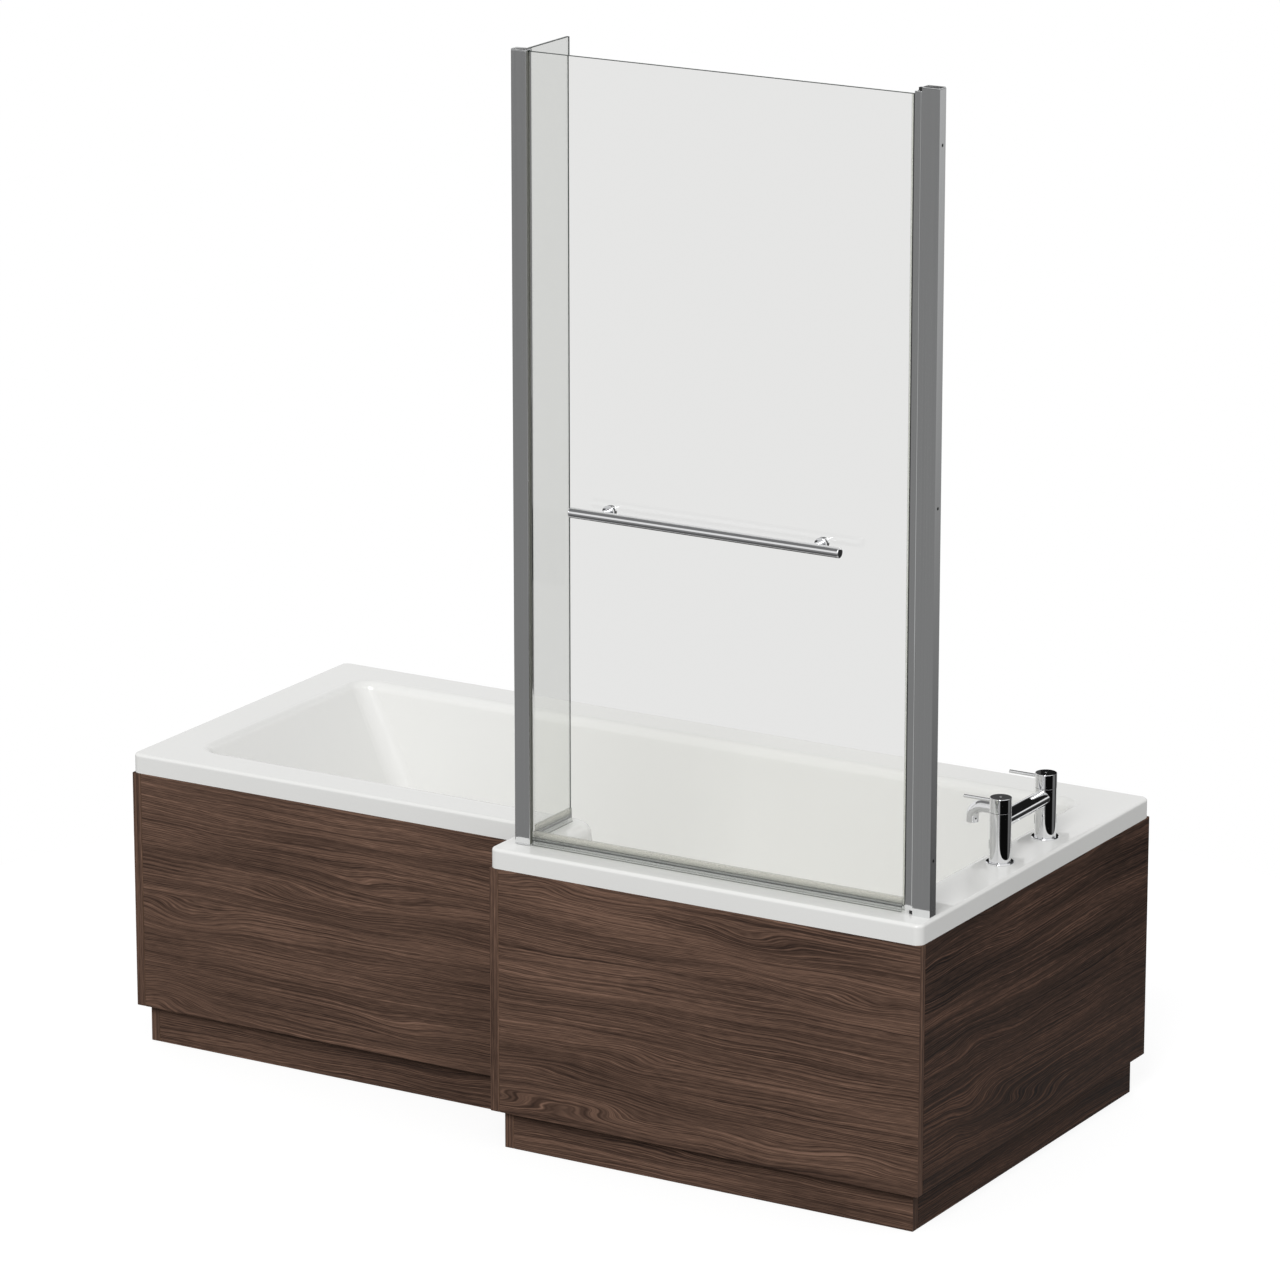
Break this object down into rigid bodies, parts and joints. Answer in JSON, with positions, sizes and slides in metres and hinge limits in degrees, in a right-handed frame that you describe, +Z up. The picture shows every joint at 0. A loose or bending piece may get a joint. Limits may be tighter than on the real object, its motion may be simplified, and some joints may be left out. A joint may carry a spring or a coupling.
{
  "type": "l-shaped shower bath",
  "caption": "L-shaped bath with woodgrain panels and plinth, a hinged glass shower screen with return pane and towel rail, and a deck bath filler with lever taps.",
  "frame": {"origin": "on the floor, at the middle of the bath's length and of its width at the wide end", "axes": "+X from the head end to the tap end, +Y from the wide front to the wall behind, +Z up"},
  "size_m": [1.7, 0.85, 1.95],
  "materials": {
    "white_acrylic": "glossy white moulded sanitary acrylic",
    "walnut_board": "dark walnut woodgrain laminate on board, satin",
    "raw_board": "unfinished timber and particle board",
    "zinc_steel": "zinc-plated steel",
    "black_plastic": "moulded black nylon",
    "white_plastic": "moulded white polypropylene",
    "chrome": "polished chrome plate",
    "polished_aluminium": "polished silver anodised extrusion",
    "clear_glass": "toughened clear glass with polished edges",
    "clear_vinyl": "clear soft vinyl extrusion",
    "black_rubber": "moulded rubber",
    "raw_brass": "machined brass"
  },
  "bodies": {
    "bath": {"bath_shell": "white_acrylic", "base_board": "raw_board", "rim_rails": "raw_board", "leg_bars": "zinc_steel", "leg_studs": "zinc_steel", "leg_nuts": "zinc_steel", "wall_brackets": "zinc_steel", "leg_feet": "black_plastic", "left_end_panel": "walnut_board", "front_panel_narrow": "walnut_board", "step_panel": "walnut_board", "front_panel_wide": "walnut_board", "right_end_panel": "walnut_board", "plinth_left": "walnut_board", "plinth_front_narrow": "walnut_board", "plinth_step": "walnut_board", "plinth_front_wide": "walnut_board", "plinth_right": "walnut_board", "waste_flange": "chrome", "waste_seal": "black_rubber", "waste_body": "white_plastic", "bath_trap": "white_plastic", "overflow_cover": "chrome", "overflow_elbow": "white_plastic", "overflow_pipe": "white_plastic", "hot_pillar": "chrome", "cold_pillar": "chrome", "tap_escutcheons": "chrome", "tap_tails": "raw_brass", "tap_cartridges": "raw_brass", "tap_back_nuts": "raw_brass", "bridge_tube": "chrome", "spout": "chrome", "aerator": "chrome", "wall_channel": "polished_aluminium", "channel_cap": "polished_aluminium", "pivot_profile": "polished_aluminium", "hinge_brackets": "black_plastic"},
    "screen": {"hinge_profile": "polished_aluminium", "hinge_seal": "clear_vinyl", "main_glass": "clear_glass", "corner_post": "polished_aluminium", "post_caps": "polished_aluminium", "return_glass": "clear_glass", "main_seal": "clear_vinyl", "return_seal": "clear_vinyl", "rail_tube": "chrome", "rail_end_caps": "chrome", "rail_standoffs": "chrome", "rail_bolts": "chrome"},
    "hot_control": {"hot_handle": "chrome", "hot_lever": "chrome", "hot_spindle": "raw_brass"},
    "cold_control": {"cold_handle": "chrome", "cold_lever": "chrome", "cold_spindle": "raw_brass"},
    "plug": {"waste_plug": "chrome"}
  },
  "joints": [
    {"name": "screen_swing", "type": "hinge", "parent": "bath", "child": "screen", "pos_m": [0.805, -0.373, 0.55], "axis": [0, 0, 1], "range_deg": [-60, 90]},
    {"name": "hot_turn", "type": "hinge", "parent": "bath", "child": "hot_control", "pos_m": [0.8, -0.0495, 0.641], "axis": [0, 0, 1], "range_deg": [0, 90]},
    {"name": "cold_turn", "type": "hinge", "parent": "bath", "child": "cold_control", "pos_m": [0.8, 0.1185, 0.641], "axis": [0, 0, -1], "range_deg": [0, 90]},
    {"name": "plug_lift", "type": "slide", "parent": "bath", "child": "plug", "axis": [0, 0, 1], "range_m": [0, 0.009]}
  ]
}
